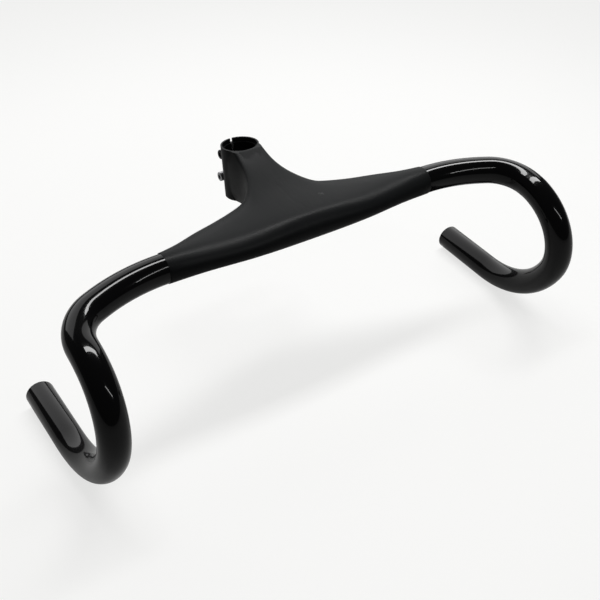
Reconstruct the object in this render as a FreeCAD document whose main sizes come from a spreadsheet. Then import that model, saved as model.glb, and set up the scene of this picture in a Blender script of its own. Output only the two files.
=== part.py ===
import FreeCAD, Part
import math
import os

# One-piece handlebar and stem, moulded hollow in carbon composite.
# Millimetres. The origin is the middle of the steerer clamp.
# +X is the rider's right, -Y is forwards, +Z is up, and the part rests on its two drop ends.

Vec = FreeCAD.Vector
doc = FreeCAD.newDocument("HandlebarStem")
sheet = doc.addObject("Spreadsheet::Sheet", "Sizes")

sizes = (
    # steerer clamp
    ("bore_radius", 14.3),
    ("clamp_wall", 2.9),
    ("clamp_height", 48.0),
    ("clamp_lean", 6.1),
    ("cap_recess_step", 1.4),
    ("cap_recess_depth", 4.0),
    ("slot_width", 2.2),
    # ears behind the bore, with two bolts, their washers and the threaded inserts
    ("ear_left", 6.0),
    ("ear_right", 9.5),
    ("ear_margin", 4.7),
    ("ear_end_step", 5.5),
    ("ear_edge_radius", 1.6),
    ("bolt_radius", 2.5),
    ("bolt_length", 16.0),
    ("bolt_from_ear_end", 8.0),
    ("bolt_clear_of_barrel", 1.3),
    ("bolt_backed_out", 2.6),
    ("bolt_hole_gap", 0.2),
    ("head_radius", 4.25),
    ("head_height", 5.0),
    ("head_edge", 0.5),
    ("hex_flats", 4.0),
    ("hex_depth", 2.6),
    ("washer_radius", 4.5),
    ("washer_thick", 0.8),
    ("spotface_gap", 0.25),
    ("insert_radius", 3.1),
    ("insert_flange_radius", 3.7),
    ("insert_flange_thick", 0.8),
    ("fit_gap", 0.05),
    # stem
    ("stem_reach", 102.0),
    ("stem_side_step", 0.2),
    ("stem_edge", 10.0),
    ("stem_over_clamp", 1.7),
    ("stem_short_of_clamp", 0.3),
    ("stem_corner", 7.5),
    ("flare_radius", 35.0),
    ("swell_start", 25.0),
    ("swell_power", 2.2),
    ("edge_squareness", 0.6),
    ("square_fade", 16.0),
    ("hollow_middle_share", 0.52),
    ("hollow_droop", 0.12),
    # tops
    ("matte_end_to_hood", 81.0),
    ("centre_half_depth", 14.5),
    ("wing_half_depth", 11.6),
    ("nose_centre", 18.6),
    ("nose_wing", 19.4),
    ("wing_edge", 26.0),
    ("wing_taper", 0.262),
    ("wing_rear_end", 16.2),
    ("wing_round_share", 0.55),
    ("nose_full_share", 0.35),
    ("nose_narrow_share", 0.39),
    ("depth_even_share", 0.58),
    ("nose_pull", 0.45),
    ("rear_pull", 0.35),
    ("nose_crowding", 0.13),
    ("tape_step", 0.4),
    ("tops_wall", 2.4),
    ("passage_broad_share", 0.46),
    ("passage_step", 1.0),
    # grips
    ("grip_radius", 12.0),
    ("grip_wall", 2.0),
    ("grip_lap", 10.0),
    ("grip_start_lap", 0.8),
    ("elbow_to_hood", 53.0),
    ("hood_half_width", 210.0),
    ("elbow_forward", 23.7),
    ("ramp_forward", 56.2),
    ("front_forward", 112.4),
    ("lower_forward", 58.9),
    ("drop_end_back", 61.5),
    ("elbow_fall", 2.5),
    ("ramp_fall", 7.5),
    ("front_fall", 32.5),
    ("drop_depth", 130.0),
    ("drop_flare", 11.1),
    ("end_flare", 15.6),
    ("elbow_outer_radius", 146.0),
    ("elbow_inner_radius", 36.0),
    ("ramp_radius", 48.0),
    ("front_radius", 49.0),
    ("lower_radius", 96.0),
    ("bend_share", 0.99),
    # small openings
    ("nose_hole_radius", 1.6),
    ("hose_port_radius", 3.4),
    ("hose_port_length", 7.0),
    ("hose_port_forward", 46.0),
    ("cable_port_radius", 6.0),
    ("cable_port_length", 14.0),
    ("cable_port_forward", 44.0),
)
for row, (alias, value) in enumerate(sizes, start=1):
    sheet.set("A%d" % row, alias)
    sheet.set("B%d" % row, str(value))
    sheet.setAlias("B%d" % row, alias)
doc.recompute()


def size(alias):
    return float(sheet.get(alias))


def add(kind, name, **bound):
    """Makes one object and ties its sizes to the sheet."""
    item = doc.addObject(kind, name)
    for prop, expression in bound.items():
        item.setExpression(prop, expression)
    return item


def add_shape(name, shape):
    item = doc.addObject("Part::Feature", name)
    item.Shape = shape
    return item


def fuse(name, *items):
    joined = doc.addObject("Part::MultiFuse", name)
    joined.Shapes = list(items)
    return joined


def cut(name, base, tool):
    result = doc.addObject("Part::Cut", name)
    result.Base = base
    result.Tool = tool
    return result


# The clamp's own frame: its z runs up the steerer, its y points back.
lean = size("clamp_lean")
clamp_turn = FreeCAD.Rotation(Vec(1, 0, 0), -lean)


def in_clamp(x, y, z, turn=FreeCAD.Rotation()):
    """A place given in the clamp's own frame."""
    return FreeCAD.Placement(clamp_turn.multVec(Vec(x, y, z)), clamp_turn.multiply(turn))


# Plan of the stem and tops, at mid height, right half.
bar_y = -size("stem_reach")
stem_half = size("bore_radius") + size("clamp_wall") - size("stem_side_step")
stem_rise = size("clamp_height") / 2 + size("stem_over_clamp") - size("centre_half_depth")
stem_sink = size("clamp_height") / 2 - size("stem_short_of_clamp") - size("centre_half_depth")
flare = size("flare_radius")
taper = math.atan(size("wing_taper"))
tops_end = size("hood_half_width") - size("matte_end_to_hood")
end_radius = size("grip_radius") + size("tape_step")


def smooth(value):
    value = min(1.0, max(0.0, value))
    return value * value * (3.0 - 2.0 * value)


def rear_line(x):
    """Straight rear edge of the tops, before it rounds into the grip."""
    return bar_y + size("wing_rear_end") + (tops_end - x) * math.tan(taper)


def rear_edge():
    """Rear edge from the middle of the clamp to the end of the tops.

    Gives each station's point and the way that is square to the edge.
    """
    stations = []
    for turn in (90, 60, 30, 0):
        way = Vec(math.cos(math.radians(turn)), math.sin(math.radians(turn)), 0)
        stations.append((way * stem_half, way))
    centre_x = stem_half + flare
    centre_y = rear_line(centre_x) + flare / math.cos(taper)
    for share in (1.0 / 3, 2.0 / 3, 1.0):
        stations.append((Vec(stem_half, centre_y * share, 0), Vec(1, 0, 0)))
    sweep = math.pi / 2 - taper
    for step in (1, 2, 3, 4):
        turn = sweep * step / 4.0
        way = Vec(math.cos(turn), math.sin(turn), 0)
        stations.append((Vec(centre_x, centre_y, 0) - way * flare, way))
    flare_end = stations[-1][0].x
    for share in (0.2, 0.4, 0.6, 0.8, 1.0):
        x = flare_end + (tops_end - flare_end) * share
        blend = smooth((share - size("wing_round_share")) / (1 - size("wing_round_share")))
        y = rear_line(x) * (1 - blend) + (bar_y + end_radius) * blend
        turn = (math.pi / 2 - taper) * (1 - blend) + math.pi / 2 * blend
        stations.append((Vec(x, y, 0), Vec(math.cos(turn), math.sin(turn), 0)))
    return stations


def nose_edge(x):
    """Front edge of the tops at a distance x from the middle."""
    share = x / tops_end
    out = smooth(share / size("nose_full_share"))
    depth = size("nose_centre") * (1 - out) + size("nose_wing") * out
    narrow = smooth((share - size("nose_narrow_share")) / (1 - size("nose_narrow_share")))
    return bar_y - (depth * (1 - narrow) + end_radius * narrow)


def half_depth(x):
    """Half the thickness of the tops at a distance x from the middle."""
    even = size("depth_even_share")
    out = smooth(x / tops_end / even)
    depth = size("centre_half_depth") * (1 - out) + size("wing_half_depth") * out
    end = smooth((x / tops_end - even) / (1 - even))
    return depth * (1 - end) + end_radius * end


def along_stem(y):
    """0 at the bar, 1 at the front of the clamp, and more behind it, where the rim trims it."""
    start = bar_y + size("swell_start")
    finish = -size("bore_radius") - size("clamp_wall")
    return max(0.0, (y - start) / (finish - start)) ** size("swell_power")


ring_angles = (0, 17, 34, 50, 63, 72, 79, 85, 90, 95, 101, 108, 117, 130, 146, 163, 180)


def ring(nose, rear, way):
    """One closed section from the nose to the rear edge, over the top and back underneath."""
    run = (rear - nose).Length
    reach = run * size("rear_pull")
    if way.x > 0.01:
        reach = min(reach, (rear.x - nose.x) / way.x)
    curve = Part.BezierCurve()
    curve.setPoles([nose, nose + Vec(0, run * size("nose_pull"), 0), rear - way * reach, rear])
    length = curve.length()
    nose_run = min(size("nose_centre"), length * 0.5)
    wing = smooth((rear.x - stem_half) / size("square_fade"))
    edge_run = size("stem_edge") * (1 - wing) + size("wing_edge") * wing
    rear_run = min(edge_run, length - nose_run)
    flat = length - nose_run - rear_run
    square = 2.0 + size("edge_squareness") * (1 - wing)
    upper = []
    lower = []
    for index, angle in enumerate(ring_angles):
        turn = math.radians(angle)
        share = smooth((index - 4) / 8.0)
        if angle <= 90:
            walk = nose_run * (1 - math.cos(turn)) + flat * share
            lift = math.sin(turn)
        else:
            across = max(0.0, -math.cos(turn)) ** (2.0 / square)
            walk = length - (rear_run * (1 - across)) - flat * (1 - share)
            lift = max(0.0, math.sin(turn)) ** (2.0 / square)
        place = curve.value(curve.parameterAtDistance(min(walk, length), 0))
        depth = half_depth(abs(place.x))
        rise = along_stem(place.y)
        upper.append(Vec(place.x, place.y, (depth + stem_rise * rise) * lift))
        lower.append(Vec(place.x, place.y, -(depth + stem_sink * rise) * lift))
    return upper + lower[-2:0:-1]


def tighten(points, passes=6):
    """Moves a ring's control points out, so that its curve runs through the points."""
    count = len(points)
    poles = list(points)
    for _ in range(passes):
        curve = [(poles[i - 1] + poles[i] * 4 + poles[(i + 1) % count]) * (1.0 / 6)
                 for i in range(count)]
        poles = [pole + point - reached for pole, point, reached in zip(poles, points, curve)]
    return poles


def skin():
    """Closed solid of the stem and tops."""
    stations = rear_edge()
    crowding = size("nose_crowding")
    right = []
    for index, (rear, way) in enumerate(stations):
        share = index / (len(stations) - 1.0)
        x = tops_end * (crowding * share + (1 - crowding) * share ** 3)
        right.append(tighten(ring(Vec(x, nose_edge(x), 0), rear, way)))
    left = [[Vec(-p.x, p.y, p.z) for p in points] for points in right[:0:-1]]
    rings = left + right
    around = len(rings[0])
    surface = Part.BSplineSurface()
    surface.buildFromPolesMultsKnots(
        [list(row) for row in zip(*rings)],
        [1] * (around + 1), [4] + [1] * (len(rings) - 4) + [4],
        list(range(around + 1)), list(range(len(rings) - 2)),
        True, False, 3, 3)
    wall = surface.toShape()
    faces = [wall]
    for edge in wall.Edges:
        if abs(abs(edge.CenterOfMass.x) - tops_end) < 0.01:
            faces.append(Part.Face(Part.Wire(edge)))
    shell = Part.makeShell(faces)
    shell.sewShape()
    return Part.makeSolid(shell)


def bend_reaches(corners, radii):
    """How far each bend reaches to both sides of its corner; two bends on a short run share it."""
    reaches = [0.0]
    for before, corner, after, radius in zip(corners, corners[1:], corners[2:], radii):
        reaches.append(radius * math.tan((corner - before).getAngle(after - corner) / 2))
    reaches.append(0.0)
    for index in range(len(corners) - 1):
        room = (corners[index + 1] - corners[index]).Length * size("bend_share")
        crowding = (reaches[index] + reaches[index + 1]) / room
        if crowding > 1:
            reaches[index] /= crowding
            reaches[index + 1] /= crowding
    return reaches[1:-1]


def grip_route():
    """Centre line of the right grip: straight runs joined by tangent arcs."""
    side = size("hood_half_width")
    corners = (
        Vec(tops_end - size("grip_lap"), bar_y, 0),
        Vec(side - size("elbow_to_hood"), bar_y, 0),
        Vec(side, bar_y - size("elbow_forward"), -size("elbow_fall")),
        Vec(side, bar_y - size("ramp_forward"), -size("ramp_fall")),
        Vec(side, bar_y - size("front_forward"), -size("front_fall")),
        Vec(side + size("drop_flare"), bar_y - size("lower_forward"), -size("drop_depth")),
        Vec(side + size("end_flare"), bar_y + size("drop_end_back"), -size("drop_depth")),
    )
    radii = (size("elbow_outer_radius"), size("elbow_inner_radius"), size("ramp_radius"),
             size("front_radius"), size("lower_radius"))
    edges = []
    last = corners[0]
    for index, reach in enumerate(bend_reaches(corners, radii), start=1):
        corner = corners[index]
        come = (corner - corners[index - 1]).normalize()
        leave = (corners[index + 1] - corner).normalize()
        half_turn = come.getAngle(leave) / 2
        radius = reach / math.tan(half_turn)
        start = corner - come * reach
        finish = corner + leave * reach
        inward = (leave - come).normalize()
        middle = corner + inward * (radius / math.cos(half_turn) - radius)
        if (start - last).Length > 0.01:
            edges.append(Part.LineSegment(last, start).toShape())
        edges.append(Part.Arc(start, middle, finish).toShape())
        last = finish
    edges.append(Part.LineSegment(last, corners[-1]).toShape())
    return Part.Wire(edges)


def tube(route, radius):
    """Closed round bar that follows the route, each length starting on the rim of the last."""
    first = route.Edges[0]
    start = first.valueAt(first.FirstParameter)
    rim = Part.makeCircle(radius, start, first.tangentAt(first.FirstParameter))
    faces = [Part.Face(Part.Wire(rim))]
    for edge in route.Edges:
        start = edge.valueAt(edge.FirstParameter)
        end = edge.valueAt(edge.LastParameter)
        if edge.Curve.TypeId == "Part::GeomLine":
            wall = rim.extrude(end - start)
        else:
            bend = edge.Curve
            turn = math.degrees(edge.LastParameter - edge.FirstParameter)
            wall = rim.revolve(bend.Center, bend.Axis, turn)
        faces += wall.Faces
        rim = Part.makeCircle(radius, end, edge.tangentAt(edge.LastParameter))
    faces.append(Part.Face(Part.Wire(rim)))
    shell = Part.makeShell(faces)
    shell.sewShape()
    return Part.makeSolid(shell)


def mirrored(shape):
    return shape.mirror(Vec(0, 0, 0), Vec(1, 0, 0))


def oval(x, front, back, half_height):
    """Closed oval across the tops at x."""
    middle = Vec(x, (front + back) / 2, 0)
    return Part.Wire(Part.Ellipse(Vec(x, back, 0), middle + Vec(0, 0, half_height), middle).toShape())


def tops_hollow():
    """Passage inside the tops, wide in the middle and narrowing into the grips."""
    wall = size("tops_wall")
    broad = tops_end * size("passage_broad_share")
    lap = tops_end - size("grip_lap") * size("grip_start_lap")
    end = size("grip_radius") - size("grip_wall") - size("passage_step")
    height = size("wing_half_depth") - wall
    ovals = [oval(-lap, bar_y - end - size("fit_gap"), bar_y + end + size("fit_gap"), end)]
    for x in (-broad, broad):
        ovals.append(oval(x, nose_edge(broad) + wall, rear_line(broad) - wall, height))
    ovals.append(oval(lap, bar_y - end - size("fit_gap"), bar_y + end + size("fit_gap"), end))
    return Part.makeLoft(ovals, True, True)


def stem_hollow():
    """Passage inside the stem, from behind the bar to just in front of the clamp."""
    wall = size("tops_wall")
    half = stem_half - wall
    corner = size("stem_corner")
    front = bar_y + size("centre_half_depth")
    rear = -size("bore_radius") - size("clamp_wall") - wall
    wires = []
    for share in (0.0, size("hollow_middle_share"), 1.0):
        y = front + (rear - front) * share
        rise = along_stem(y) * (1 - size("hollow_droop") * share)
        top = size("centre_half_depth") + stem_rise * rise - wall
        bottom = -size("centre_half_depth") - stem_sink * rise + wall
        edges = []
        last = None
        for quarter, (side, level) in enumerate(((1, top), (-1, top), (-1, bottom), (1, bottom))):
            centre = Vec(side * (half - corner), y, level - math.copysign(corner, level))
            turns = [math.radians(90 * quarter + step) for step in (0, 45, 90)]
            start, middle, finish = [centre + Vec(math.cos(t), 0, math.sin(t)) * corner for t in turns]
            if last:
                edges.append(Part.LineSegment(last, start).toShape())
            else:
                first = start
            edges.append(Part.Arc(start, middle, finish).toShape())
            last = finish
        edges.append(Part.LineSegment(last, first).toShape())
        wires.append(Part.Wire(edges))
    return Part.makeLoft(wires, True, True)


def port(name, kind, place):
    """Oval cutter, as deep as the clamp is high, with its rounded ends along its own x."""
    radius = "Sizes.%s_radius" % kind
    depth = "Sizes.clamp_height"
    half = size(kind + "_length") / 2
    middle = add("Part::Box", name + "Middle", Length="Sizes.%s_length" % kind,
                 Width=radius + " * 2", Height=depth)
    middle.Placement = place.multiply(FreeCAD.Placement(
        Vec(-half, -size(kind + "_radius"), 0), FreeCAD.Rotation()))
    ends = []
    for end_name, across in (("Start", -half), ("End", half)):
        end = add("Part::Cylinder", name + end_name, Radius=radius, Height=depth)
        end.Placement = place.multiply(FreeCAD.Placement(Vec(across, 0, 0), FreeCAD.Rotation()))
        ends.append(end)
    return fuse(name, middle, *ends)


# The moulded body: skin, grips, clamp barrel and ears.
route = grip_route()
grip = tube(route, size("grip_radius"))
grip_bore = tube(route, size("grip_radius") - size("grip_wall"))
barrel = add("Part::Cylinder", "Barrel", Radius="Sizes.bore_radius + Sizes.clamp_wall",
             Height="Sizes.clamp_height")
barrel.Placement = in_clamp(0, 0, -size("clamp_height") / 2)
bolt_offset = size("bore_radius") + size("clamp_wall") + size("bolt_clear_of_barrel")
ear_block = add("Part::Box", "EarBlock", Length="Sizes.ear_left + Sizes.ear_right",
                Width="Sizes.clamp_wall + Sizes.bolt_clear_of_barrel + Sizes.ear_margin",
                Height="Sizes.clamp_height - Sizes.ear_end_step * 2")
doc.recompute()
ears = doc.addObject("Part::Fillet", "Ears")
ears.Base = ear_block
outer_edges = []
for index, edge in enumerate(ear_block.Shape.Edges, start=1):
    if edge.CenterOfMass.y > ear_block.Width.Value * 0.75:
        outer_edges.append((index, size("ear_edge_radius"), size("ear_edge_radius")))
ears.Edges = outer_edges
ear_half = size("clamp_height") / 2 - size("ear_end_step")
ears.Placement = in_clamp(-size("ear_left"), size("bore_radius"), -ear_half)
outer = fuse("Outer", add_shape("Skin", skin()), add_shape("GripRight", grip),
             add_shape("GripLeft", mirrored(grip)), barrel, ears)

# Hollow inside: the tops open into the grips, and the stem is closed by the clamp barrel.
cutters = [add_shape("TopsHollow", tops_hollow()), add_shape("StemHollow", stem_hollow()),
           add_shape("GripBoreRight", grip_bore), add_shape("GripBoreLeft", mirrored(grip_bore))]

# Clamp: bore, recess for the top cap, slot, and flush ends above and below.
bore = add("Part::Cylinder", "Bore", Radius="Sizes.bore_radius", Height="Sizes.clamp_height * 2")
bore.Placement = in_clamp(0, 0, -size("clamp_height"))
recess = add("Part::Cylinder", "Recess", Radius="Sizes.bore_radius + Sizes.cap_recess_step",
             Height="Sizes.cap_recess_depth * 2")
recess.Placement = in_clamp(0, 0, size("clamp_height") / 2 - size("cap_recess_depth"))
slot = add("Part::Box", "Slot", Length="Sizes.slot_width",
           Width="Sizes.bore_radius * 2 + Sizes.ear_margin * 2", Height="Sizes.clamp_height * 2")
slot.Placement = in_clamp(-size("slot_width") / 2, 0, -size("clamp_height"))
trims = []
for name, level in (("AboveRim", size("clamp_height") / 2), ("BelowRim", -size("clamp_height") * 1.5)):
    trim = add("Part::Box", name, Length="Sizes.bore_radius * 4", Width="Sizes.bore_radius * 4",
               Height="Sizes.clamp_height")
    trim.Placement = in_clamp(-size("bore_radius") * 2, -size("bore_radius") * 2, level)
    trims.append(trim)
cutters += [bore] + trims + [recess, slot]

# Bolts run along X through both ears, one above the other behind the steerer.
across = FreeCAD.Rotation(Vec(0, 1, 0), 90)
head_side = -size("ear_left") - size("washer_thick")
bolt_level = ear_half - size("bolt_from_ear_end")
levels = (("upper", bolt_level, 0.0), ("lower", -bolt_level, size("bolt_backed_out")))
for name, level, out in levels:
    hole = add("Part::Cylinder", "BoltHole_" + name, Radius="Sizes.bolt_radius + Sizes.bolt_hole_gap",
               Height="Sizes.ear_left * 3")
    hole.Placement = in_clamp(-size("ear_left") * 3, bolt_offset, level, across)
    seat = add("Part::Cylinder", "InsertHole_" + name, Radius="Sizes.insert_radius + Sizes.fit_gap",
               Height="Sizes.ear_right * 2")
    seat.Placement = in_clamp(0, bolt_offset, level, across)
    spotface = add("Part::Cylinder", "Spotface_" + name,
                   Radius="Sizes.washer_radius + Sizes.spotface_gap", Height="Sizes.ear_left * 2")
    spotface.Placement = in_clamp(-size("ear_left") * 3, bolt_offset, level, across)
    cutters += [hole, seat, spotface]

# Small openings: nose hole, hose ports under the hoods, cable port under the stem.
nose_hole = add("Part::Cylinder", "NoseHole", Radius="Sizes.nose_hole_radius",
                Height="Sizes.nose_centre")
nose_hole.Placement = FreeCAD.Placement(Vec(0, bar_y, 0), FreeCAD.Rotation(Vec(1, 0, 0), 90))
cutters.append(nose_hole)
downward = FreeCAD.Rotation(Vec(0, 0, 1), 90).multiply(FreeCAD.Rotation(Vec(1, 0, 0), 180))
cutters.append(port("CablePort", "cable_port",
                    FreeCAD.Placement(Vec(0, -size("cable_port_forward"), 0), downward)))
for name, side in (("HosePortRight", 1), ("HosePortLeft", -1)):
    place = Vec(side * size("hood_half_width"), bar_y - size("hose_port_forward"), -size("elbow_fall"))
    cutters.append(port(name, "hose_port", FreeCAD.Placement(place, downward)))
body = outer
for cutter in cutters:
    body = cut("After" + cutter.Name, body, cutter)
body.Label = "handlebar_stem"
pieces = [body]

for name, level, out in levels:
    # Cap screw, its socket open to the rider's left.
    underside = head_side - out
    head = add("Part::Cylinder", "Head_" + name, Radius="Sizes.head_radius", Height="Sizes.head_height")
    doc.recompute()
    rounded = doc.addObject("Part::Chamfer", "HeadEdge_" + name)
    rounded.Base = head
    for index, edge in enumerate(head.Shape.Edges, start=1):
        if edge.Closed and edge.CenterOfMass.z < size("head_height") / 2:
            rounded.Edges = [(index, size("head_edge"), size("head_edge"))]
    rounded.Placement = in_clamp(underside - size("head_height"), bolt_offset, level, across)
    shank = add("Part::Cylinder", "Shank_" + name, Radius="Sizes.bolt_radius",
                Height="Sizes.bolt_length")
    shank.Placement = in_clamp(underside, bolt_offset, level, across)
    socket = add("Part::Prism", "Socket_" + name, Circumradius="Sizes.hex_flats / sqrt(3)",
                 Height="Sizes.hex_depth * 2")
    socket.Placement = in_clamp(underside - size("head_height") - size("hex_depth"), bolt_offset,
                                level, across)
    bolt = cut("Bolt_" + name, fuse("BoltBlank_" + name, rounded, shank), socket)
    bolt.Label = "clamp_bolt_" + name

    disc = add("Part::Cylinder", "Disc_" + name, Radius="Sizes.washer_radius",
               Height="Sizes.washer_thick")
    disc.Placement = in_clamp(head_side, bolt_offset, level, across)
    eye = add("Part::Cylinder", "Eye_" + name, Radius="Sizes.bolt_radius + Sizes.bolt_hole_gap",
              Height="Sizes.washer_thick * 3")
    eye.Placement = in_clamp(head_side - size("washer_thick"), bolt_offset, level, across)
    washer = cut("Washer_" + name, disc, eye)
    washer.Label = "bolt_washer_" + name

    # Threaded insert, pulled against the right ear by its flange.
    sleeve_start = size("slot_width") / 2
    sleeve = add("Part::Cylinder", "Sleeve_" + name, Radius="Sizes.insert_radius",
                 Height="Sizes.ear_right - Sizes.slot_width / 2")
    sleeve.Placement = in_clamp(sleeve_start, bolt_offset, level, across)
    flange = add("Part::Cylinder", "Flange_" + name, Radius="Sizes.insert_flange_radius",
                 Height="Sizes.insert_flange_thick")
    flange.Placement = in_clamp(size("ear_right"), bolt_offset, level, across)
    thread = add("Part::Cylinder", "Thread_" + name, Radius="Sizes.bolt_radius + Sizes.fit_gap",
                 Height="Sizes.ear_right * 2")
    thread.Placement = in_clamp(0, bolt_offset, level, across)
    insert = cut("Insert_" + name, fuse("InsertBlank_" + name, sleeve, flange), thread)
    insert.Label = "thread_insert_" + name
    pieces += [bolt, washer, insert]

doc.recompute()
for item in doc.Objects:
    if "Invalid" in item.State or "Error" in item.State:
        raise RuntimeError("%s did not build" % item.Label)
for piece in pieces:
    if piece.Shape.isNull() or not piece.Shape.isValid() or len(piece.Shape.Solids) != 1:
        raise RuntimeError("%s is not one sound solid" % piece.Label)
os.makedirs("parts", exist_ok=True)
for piece in pieces:
    piece.Shape.exportStep("parts/%s.step" % piece.Label)
    box = piece.Shape.BoundBox
    print(piece.Label, round(piece.Shape.Volume, 1), [round(v, 2) for v in (
        box.XMin, box.YMin, box.ZMin, box.XMax, box.YMax, box.ZMax)])
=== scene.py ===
import math

import bmesh
import bpy
from mathutils import Matrix, Vector


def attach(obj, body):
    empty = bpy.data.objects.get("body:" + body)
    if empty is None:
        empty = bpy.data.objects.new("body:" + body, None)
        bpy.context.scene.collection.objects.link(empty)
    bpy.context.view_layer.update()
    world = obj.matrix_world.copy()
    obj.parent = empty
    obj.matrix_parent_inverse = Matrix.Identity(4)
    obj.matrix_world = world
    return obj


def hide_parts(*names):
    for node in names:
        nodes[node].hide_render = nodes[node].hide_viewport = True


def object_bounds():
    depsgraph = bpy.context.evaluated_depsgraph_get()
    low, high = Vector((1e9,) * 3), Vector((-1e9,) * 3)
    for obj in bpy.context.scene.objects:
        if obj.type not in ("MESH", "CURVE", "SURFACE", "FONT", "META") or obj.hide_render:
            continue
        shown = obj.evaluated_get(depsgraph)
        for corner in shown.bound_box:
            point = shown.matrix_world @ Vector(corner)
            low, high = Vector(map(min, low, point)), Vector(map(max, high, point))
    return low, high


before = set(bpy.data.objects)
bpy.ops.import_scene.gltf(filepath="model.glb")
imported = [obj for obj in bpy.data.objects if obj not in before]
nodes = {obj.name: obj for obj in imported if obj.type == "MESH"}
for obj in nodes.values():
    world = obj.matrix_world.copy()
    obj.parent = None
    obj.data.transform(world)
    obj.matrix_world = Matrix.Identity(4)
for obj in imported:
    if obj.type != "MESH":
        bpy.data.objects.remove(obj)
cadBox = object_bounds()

view = bpy.context.scene
view.view_settings.view_transform = "Standard"
weld = 0.000002


# Shader maths: a socket that can be used in plain expressions
class Value:
    def __init__(self, finish, socket):
        self.finish = finish
        self.socket = socket

    def maths(self, operation, first, second, clamp=False):
        settings = {"operation": operation, "use_clamp": clamp}
        return self.finish.node("ShaderNodeMath", settings, {0: first, 1: second})

    def __add__(self, other):
        return self.maths("ADD", self, other)

    def __sub__(self, other):
        return self.maths("SUBTRACT", self, other)

    def __rsub__(self, other):
        return self.maths("SUBTRACT", other, self)

    def __mul__(self, other):
        return self.maths("MULTIPLY", self, other)

    __radd__ = __add__

    # 0 below the edge, 1 above it, with a soft step between
    def above(self, edge, soft):
        return self.maths("MULTIPLY", self - (edge - soft / 2), 1 / soft, clamp=True)


class Finish:
    def __init__(self, name, **fixed):
        self.material = bpy.data.materials.new(name)
        self.material.use_nodes = True
        self.tree = self.material.node_tree
        self.shader = self.tree.nodes["Principled BSDF"]
        for socket, value in fixed.items():
            self.shader.inputs[socket.replace("_", " ")].default_value = value
        self.place = self.node("ShaderNodeTexCoord", output="Object")

    def feed(self, socket, value):
        if isinstance(value, Value):
            self.tree.links.new(value.socket, socket)
        else:
            socket.default_value = value

    def node(self, kind, settings=None, inputs=None, output=0):
        made = self.tree.nodes.new(kind)
        for name, value in (settings or {}).items():
            setattr(made, name, value)
        for socket, value in (inputs or {}).items():
            self.feed(made.inputs[socket], value)
        return Value(self, made.outputs[output])

    def noise(self, scale, detail):
        return self.node("ShaderNodeTexNoise", None,
                         {"Vector": self.place, "Scale": scale, "Detail": detail})

    def vectorMaths(self, operation, first, second=(0, 0, 0), output=0):
        return self.node("ShaderNodeVectorMath", {"operation": operation},
                         {0: first, 1: second}, output)

    def blend(self, share, first, second):
        return self.node("ShaderNodeMix", {"data_type": "RGBA"},
                         {0: share, 6: first, 7: second}, output=2)

    def bump(self, height, distance):
        return self.node("ShaderNodeBump", None,
                         {"Height": height, "Distance": distance, "Strength": 1.0})

    def give(self, **sockets):
        for socket, value in sockets.items():
            self.feed(self.shader.inputs[socket.replace("_", " ")], value)
        return self.material


def colour(red, green, blue):
    return (red, green, blue, 1.0)


# Camera
cameraSettings = {
    "place": (-0.3258, -0.6046, 0.3885),
    "azimuth": math.radians(-32.779),
    "elevation": math.radians(38.180),
    "roll": math.radians(0.526),
    "lens": 51.80,
    "sensor": 36.0,
    "clip": 0.01,
}


def addCamera(settings):
    azimuth, elevation = settings["azimuth"], settings["elevation"]
    back = Vector((math.sin(azimuth) * math.cos(elevation),
                   -math.cos(azimuth) * math.cos(elevation), math.sin(elevation)))
    right = Vector((math.cos(azimuth), math.sin(azimuth), 0))
    turn = Matrix((right, back.cross(right), back)).transposed()
    turn = turn @ Matrix.Rotation(settings["roll"], 3, "Z")
    data = bpy.data.cameras.new("camera")
    data.lens = settings["lens"]
    data.sensor_width = settings["sensor"]
    data.clip_start = settings["clip"]
    camera = bpy.data.objects.new("camera", data)
    camera.matrix_world = Matrix.Translation(settings["place"]) @ turn.to_4x4()
    view.collection.objects.link(camera)
    view.camera = camera


addCamera(cameraSettings)
print("camera placed")


# Helpers for new pieces
def makePiece(name, shape, finish, cadNode, sharpAngle):
    mesh = bpy.data.meshes.new(name)
    shape.to_mesh(mesh)
    shape.free()
    if "custom_normal" in mesh.attributes:
        mesh.attributes.remove(mesh.attributes["custom_normal"])
    mesh.materials.clear()
    mesh.materials.append(finish)
    for face in mesh.polygons:
        face.use_smooth = True
        face.material_index = 0
    mesh.set_sharp_from_angle(angle=math.radians(sharpAngle))
    piece = bpy.data.objects.new(name, mesh)
    view.collection.objects.link(piece)
    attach(piece, "root")
    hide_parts(cadNode)
    return piece


def mergedCopy(cadNode):
    shape = bmesh.new()
    shape.from_mesh(nodes[cadNode].data)
    bmesh.ops.remove_doubles(shape, verts=shape.verts, dist=weld)
    return shape


def onlyOf(kind, geometry):
    return [item for item in geometry if isinstance(item, kind)]


# Matte lacquer of the stem and tops, with a machined bore in the clamp and one small rubbed spot.
# A noise is given by its scale and detail, a step by its edge and softness.
matteSettings = {
    "reflection": 0.10,
    "dark": colour(0.0075, 0.0082, 0.0088),
    "light": colour(0.0120, 0.0128, 0.0132),
    "roughness": 0.39,
    "cloud": (14.0, 3.0),
    "cloudStep": (0.5, 0.5),
    "cloudRoughness": 0.10,
    "speck": (1500.0, 1.0),
    "speckRoughness": 0.08,
    "grain": (2600.0, 2.0),
    "grainHeight": 0.00003,
    "boreTone": colour(0.0015, 0.0015, 0.0017),
    "boreLean": math.radians(6.1),
    "boreStep": (0.0148, 0.0003),
    "boreRoughness": 0.42,
    "ringRoughness": 0.15,
    "ringHeight": 2,
    "rings": {"Scale": 420.0, "Distortion": 1.5, "Detail": 1.0, "Detail Scale": 2.0},
    "rubbedPlace": (0.0240, -0.0923, 0.0135),
    "rubbedStep": (0.0022, 0.0014),
    "rubbedNoise": (900.0, 2.0),
    "rubbedNoiseStep": (0.5, 0.12),
    "rubbedTone": colour(0.05, 0.05, 0.05),
}


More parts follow.
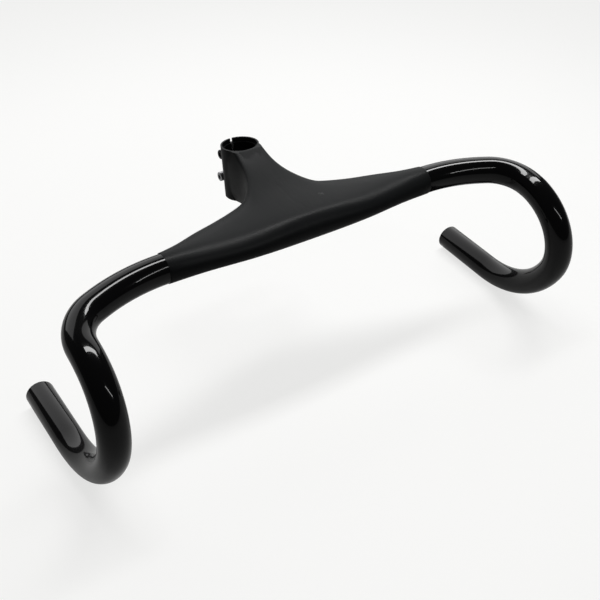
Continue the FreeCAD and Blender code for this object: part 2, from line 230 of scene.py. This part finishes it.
def matteFinish(settings):
    finish = Finish("matteLacquer", Specular_IOR_Level=settings["reflection"])
    cloud = finish.noise(*settings["cloud"])
    speck = finish.noise(*settings["speck"])
    grain = finish.noise(*settings["grain"])
    tone = finish.blend(cloud.above(*settings["cloudStep"]), settings["dark"], settings["light"])
    upright = finish.node("ShaderNodeMapping", {"vector_type": "POINT"},
                          {"Vector": finish.place, "Rotation": (settings["boreLean"], 0, 0)})
    flat = finish.vectorMaths("MULTIPLY", upright, (1, 1, 0))
    away = finish.vectorMaths("LENGTH", flat, output="Value")
    bore = 1 - away.above(*settings["boreStep"])
    rings = finish.node("ShaderNodeTexWave", {"bands_direction": "Z"},
                        {"Vector": upright, **settings["rings"]})
    tone = finish.blend(bore, tone, settings["boreTone"])
    near = finish.vectorMaths("DISTANCE", finish.place, settings["rubbedPlace"], output="Value")
    patches = finish.noise(*settings["rubbedNoise"]).above(*settings["rubbedNoiseStep"])
    rubbed = (1 - near.above(*settings["rubbedStep"])) * patches
    tone = finish.blend(rubbed, tone, settings["rubbedTone"])
    roughness = (settings["roughness"] + (cloud - 0.5) * settings["cloudRoughness"]
                 + (speck - 0.5) * settings["speckRoughness"])
    boreRoughness = settings["boreRoughness"] + rings * settings["ringRoughness"]
    roughness = roughness * (1 - bore) + bore * boreRoughness
    height = grain * (1 - bore) + rings * bore * settings["ringHeight"]
    return finish.give(Base_Color=tone, Roughness=roughness,
                       Normal=finish.bump(height, settings["grainHeight"]))


# Gloss lacquer of the grips
glossSettings = {
    "reflection": 0.08,
    "coat": {"Coat_Weight": 1.0, "Coat_Roughness": 0.025, "Coat_IOR": 1.31},
    "base": colour(0.0010, 0.0010, 0.0012),
    "deep": colour(0.0022, 0.0022, 0.0025),
    "roughness": 0.12,
    "cloud": (22.0, 3.0),
    "haze": (600.0, 2.0),
    "roughnessDrift": 0.05,
    "peel": (160.0, 1.0),
    "peelHeight": 0.00002,
}


def glossFinish(settings):
    finish = Finish("glossLacquer", Specular_IOR_Level=settings["reflection"], **settings["coat"])
    cloud = finish.noise(*settings["cloud"])
    haze = finish.noise(*settings["haze"])
    drift = settings["roughnessDrift"]
    tone = finish.blend(cloud, settings["base"], settings["deep"])
    peel = finish.bump(finish.noise(*settings["peel"]), settings["peelHeight"])
    return finish.give(Base_Color=tone, Normal=peel,
                       Roughness=settings["roughness"] + haze * drift + (cloud - 0.5) * drift)


matteLacquer = matteFinish(matteSettings)
glossLacquer = glossFinish(glossSettings)
print("lacquers mixed")


# Stem and tops: the moulding's own shape up to the ends of the matte lacquer
centreSettings = {
    "end": 0.1256,
    "endTolerance": 0.0001,
    "lip": 0.0003,
    "lipSegments": 3,
    "sharpAngle": 28.0,
    "gripRadius": 0.012,
    "gripAxis": (-0.102, 0.0),
}


def outerEnd(edge, side, settings):
    middle = (edge.verts[0].co + edge.verts[1].co) / 2
    away = math.hypot(middle.y - settings["gripAxis"][0], middle.z - settings["gripAxis"][1])
    atEnd = abs(middle.x - side * settings["end"]) < settings["endTolerance"]
    return atEnd and away > settings["gripRadius"]


def makeCentre(settings):
    shape = mergedCopy("handlebar_stem")
    for side in (1, -1):
        everything = shape.verts[:] + shape.edges[:] + shape.faces[:]
        cut = bmesh.ops.bisect_plane(shape, geom=everything, dist=weld,
                                     plane_co=(side * settings["end"], 0, 0),
                                     plane_no=(side, 0, 0), clear_outer=True)
        rim = [edge for edge in onlyOf(bmesh.types.BMEdge, cut["geom_cut"]) if edge.is_boundary]
        bmesh.ops.bridge_loops(shape, edges=rim)
        lip = [edge for edge in rim if edge.is_valid and outerEnd(edge, side, settings)]
        bmesh.ops.bevel(shape, geom=lip, offset=settings["lip"], affect="EDGES",
                        segments=settings["lipSegments"], profile=0.5, material=-1)
    bmesh.ops.recalc_face_normals(shape, faces=shape.faces)
    piece = makePiece("stemAndTops", shape, matteLacquer, "handlebar_stem",
                      settings["sharpAngle"])


makeCentre(centreSettings)
print("stem and tops done")


# Grips: one tube from the tops round the hood, the hook and back to the open drop end.
# The route's corners are rounded with the bends' radii.
gripSettings = {
    "outer": 0.012,
    "inner": 0.010,
    "route": ((0.1250, -0.102, 0.0), (0.157, -0.102, 0.0), (0.210, -0.1257, -0.0025),
              (0.210, -0.1582, -0.0075), (0.210, -0.2144, -0.0325),
              (0.2211, -0.1609, -0.130), (0.2256, -0.0405, -0.130)),
    "bends": (0.146, 0.036, 0.048, 0.049, 0.096),
    "around": 96,
    "arcStep": 0.0022,
    "fewestSteps": 6,
    "shortest": 0.00001,
    "rimRounding": 0.0007,
    "rimSegments": 4,
    "sharpAngle": 40.0,
}


def extendTube(shape, loops, shift):
    grown = bmesh.ops.extrude_edge_only(shape, edges=loops)["geom"]
    fresh = set(onlyOf(bmesh.types.BMVert, grown))
    bmesh.ops.translate(shape, verts=list(fresh), vec=shift)
    return [edge for edge in onlyOf(bmesh.types.BMEdge, grown) if fresh.issuperset(edge.verts)]


def bendTube(shape, loops, centre, axis, angle, steps):
    geometry = loops + list({vertex for edge in loops for vertex in edge.verts})
    turned = bmesh.ops.spin(shape, geom=geometry, cent=centre, axis=axis, angle=angle,
                            steps=steps, use_merge=False, use_duplicate=False)
    return onlyOf(bmesh.types.BMEdge, turned["geom_last"])


def makeGrip(name, side, settings):
    route = [Vector(point) for point in settings["route"]]
    shape = bmesh.new()
    facing = Matrix.Translation(route[0]) @ Matrix.Rotation(math.pi / 2, 4, "Y")
    for radius in (settings["outer"], settings["inner"]):
        bmesh.ops.create_circle(shape, cap_ends=False, radius=radius,
                                segments=settings["around"], matrix=facing)
    first = shape.edges[:]
    loops = shape.edges[:]
    here = route[0]
    for before, corner, after, radius in zip(route, route[1:], route[2:], settings["bends"]):
        come = (corner - before).normalized()
        leave = (after - corner).normalized()
        angle = come.angle(leave)
        reach = radius * math.tan(angle / 2)
        start = corner - come * reach
        if (start - here).length > settings["shortest"]:
            loops = extendTube(shape, loops, start - here)
        axis = come.cross(leave).normalized()
        steps = max(settings["fewestSteps"], round(angle * radius / settings["arcStep"]))
        loops = bendTube(shape, loops, start + axis.cross(come) * radius, axis, angle, steps)
        here = corner + leave * reach
    rim = extendTube(shape, loops, route[-1] - here)
    bmesh.ops.bridge_loops(shape, edges=rim)
    bmesh.ops.bevel(shape, geom=rim, offset=settings["rimRounding"], affect="EDGES",
                    segments=settings["rimSegments"], profile=0.5, material=-1)
    bmesh.ops.bridge_loops(shape, edges=[edge for edge in first if edge.is_valid])
    bmesh.ops.scale(shape, verts=shape.verts, vec=(side, 1, 1))
    bmesh.ops.recalc_face_normals(shape, faces=shape.faces)
    piece = makePiece(name, shape, glossLacquer, "handlebar_stem", settings["sharpAngle"])


for name, side in (("gripRight", 1), ("gripLeft", -1)):
    makeGrip(name, side, gripSettings)
print("grips done")


# Steel and alloy of the clamp hardware: colour and roughness. The lower bolt and its washer carry
# a painted highlight: they are the same dark steel as the upper pair, given a lighter tone where
# they catch the light
hardwareSettings = {
    "clamp_bolt_upper": (colour(0.012, 0.012, 0.013), 0.42),
    # painted highlight: silver tone on the lower bolt, which is the same black steel as the upper
    # bolt
    "clamp_bolt_lower": (colour(0.42, 0.42, 0.43), 0.28),
    "bolt_washer_upper": (colour(0.05, 0.05, 0.052), 0.40),
    # painted highlight: lighter grey on the lower washer, which is the same dark steel as the
    # upper washer
    "bolt_washer_lower": (colour(0.16, 0.16, 0.165), 0.38),
    "thread_insert_upper": (colour(0.45, 0.45, 0.46), 0.35),
    "thread_insert_lower": (colour(0.45, 0.45, 0.46), 0.35),
}
metalSettings = {
    "wear": (900.0, 3.0),
    "wearStep": (0.62, 0.2),
    "wearGain": 1.6,
    "wearRoughness": 0.25,
    "grain": (6000.0, 2.0),
    "grainRoughness": 0.1,
    "grainHeight": 0.00001,
    "sharpAngle": 24.0,
}


def metalFinish(name, base, roughness, settings):
    finish = Finish(name, Metallic=1.0)
    wear = finish.noise(*settings["wear"])
    grain = finish.noise(*settings["grain"])
    worn = colour(*(min(1.0, channel * settings["wearGain"]) for channel in base[:3]))
    tone = finish.blend(wear.above(*settings["wearStep"]), base, worn)
    rough = (roughness + (wear - 0.5) * settings["wearRoughness"]
             + (grain - 0.5) * settings["grainRoughness"])
    return finish.give(Base_Color=tone, Roughness=rough,
                       Normal=finish.bump(grain, settings["grainHeight"]))


for name, (base, roughness) in hardwareSettings.items():
    metal = metalFinish(name + "Finish", base, roughness, metalSettings)
    piece = makePiece(name + "_smooth", mergedCopy(name), metal, name,
                      metalSettings["sharpAngle"])
print("hardware finished")


# Table and room: pale for the camera, at a small share for mirrored and refracted rays
stageSettings = {
    "belowPart": 0.0001,
    "radius": 4.0,
    "around": 96,
    "roughness": 0.6,
    "reflection": 0.25,
    "tone": colour(0.215, 0.215, 0.213),
    "drift": colour(0.23, 0.23, 0.227),
    "driftNoise": (2.0, 2.0),
    "paleTone": colour(1.0, 1.0, 0.99),
    "paleFrom": 0.4,
    "paleTo": 1.1,
    "nearGlow": 0.73,
    "nearMirrored": 0.18,
    "backdrop": 0.87,
    "mirrored": 0.03,
    "fill": 0.03,
}


def seenBy(finish, mirrored):
    camera, glossy, through = [finish.node("ShaderNodeLightPath", output="Is %s Ray" % kind)
                               for kind in ("Camera", "Glossy", "Transmission")]
    return camera + (glossy + through) * mirrored


def tableFinish(settings):
    finish = Finish("paleTable", Roughness=settings["roughness"],
                    Specular_IOR_Level=settings["reflection"])
    drift = finish.noise(*settings["driftNoise"])
    glow = seenBy(finish, settings["nearMirrored"]) * settings["nearGlow"]
    finish.give(Base_Color=finish.blend(drift, settings["tone"], settings["drift"]),
                Emission_Color=settings["paleTone"], Emission_Strength=glow)
    away = finish.vectorMaths("LENGTH", finish.place, output="Value")
    far = finish.node("ShaderNodeMapRange", {"interpolation_type": "SMOOTHSTEP"},
                      {"Value": away, "From Min": settings["paleFrom"],
                       "From Max": settings["paleTo"]})
    pale = finish.node("ShaderNodeEmission", None,
                       {"Color": settings["paleTone"], "Strength": settings["backdrop"]})
    near = Value(finish, finish.shader.outputs[0])
    both = finish.node("ShaderNodeMixShader", None,
                       {0: far * seenBy(finish, settings["mirrored"]), 1: near, 2: pale})
    finish.feed(finish.tree.nodes["Material Output"].inputs["Surface"], both)
    return finish.material


def makeTable(settings):
    level = cadBox[0][2] - settings["belowPart"]
    shape = bmesh.new()
    bmesh.ops.create_circle(shape, cap_ends=True, radius=settings["radius"],
                            segments=settings["around"],
                            matrix=Matrix.Translation((0, 0, level)))
    mesh = bpy.data.meshes.new("table")
    shape.to_mesh(mesh)
    shape.free()
    mesh.materials.append(tableFinish(settings))
    table = bpy.data.objects.new("table", mesh)
    view.collection.objects.link(table)


def makeWorld(settings):
    world = bpy.data.worlds.new("room")
    world.use_nodes = True
    tree = world.node_tree
    path = tree.nodes.new("ShaderNodeLightPath")
    seen = tree.nodes.new("ShaderNodeMath")
    seen.operation = "MULTIPLY_ADD"
    seen.inputs[1].default_value = settings["mirrored"]
    tree.links.new(path.outputs["Is Glossy Ray"], seen.inputs[0])
    tree.links.new(path.outputs["Is Camera Ray"], seen.inputs[2])
    level = tree.nodes.new("ShaderNodeMapRange")
    level.inputs["To Min"].default_value = settings["fill"]
    level.inputs["To Max"].default_value = settings["backdrop"]
    tree.links.new(seen.outputs[0], level.inputs["Value"])
    background = tree.nodes["Background"]
    background.inputs["Color"].default_value = colour(1.0, 1.0, 1.0)
    tree.links.new(level.outputs[0], background.inputs["Strength"])
    view.world = world


# Lamps, aimed at the middle of the tops
lampAim = Vector((0, -0.1, 0))
lampSettings = {
    "ceilingPanel": {"place": (0.36, 0.22, 1.45), "along": (1, 0, 0),
                     "width": 1.5, "height": 0.25, "power": 20.0},
    "paleWall": {"place": (0.45, 1.55, 1.0), "along": (1, 0, 0),
                 "width": 4.4, "height": 1.7, "power": 26.0},
    "frontTube": {"place": (0.42, -1.16, 0.86), "along": (0.51, -0.12, -0.44),
                  "width": 0.72, "height": 0.05, "power": 1.6},
}


def addLamp(name, settings):
    place, along = Vector(settings["place"]), Vector(settings["along"])
    data = bpy.data.lights.new(name, "AREA")
    data.shape = "RECTANGLE"
    data.size = settings["width"]
    data.size_y = settings["height"]
    data.energy = settings["power"]
    lamp = bpy.data.objects.new(name, data)
    back = (place - lampAim).normalized()
    side = (along - back * back.dot(along)).normalized()
    turn = Matrix((side, back.cross(side), back)).transposed()
    lamp.matrix_world = Matrix.Translation(place) @ turn.to_4x4()
    view.collection.objects.link(lamp)


makeTable(stageSettings)
makeWorld(stageSettings)
for name, settings in lampSettings.items():
    addLamp(name, settings)
print("table and lamps set")
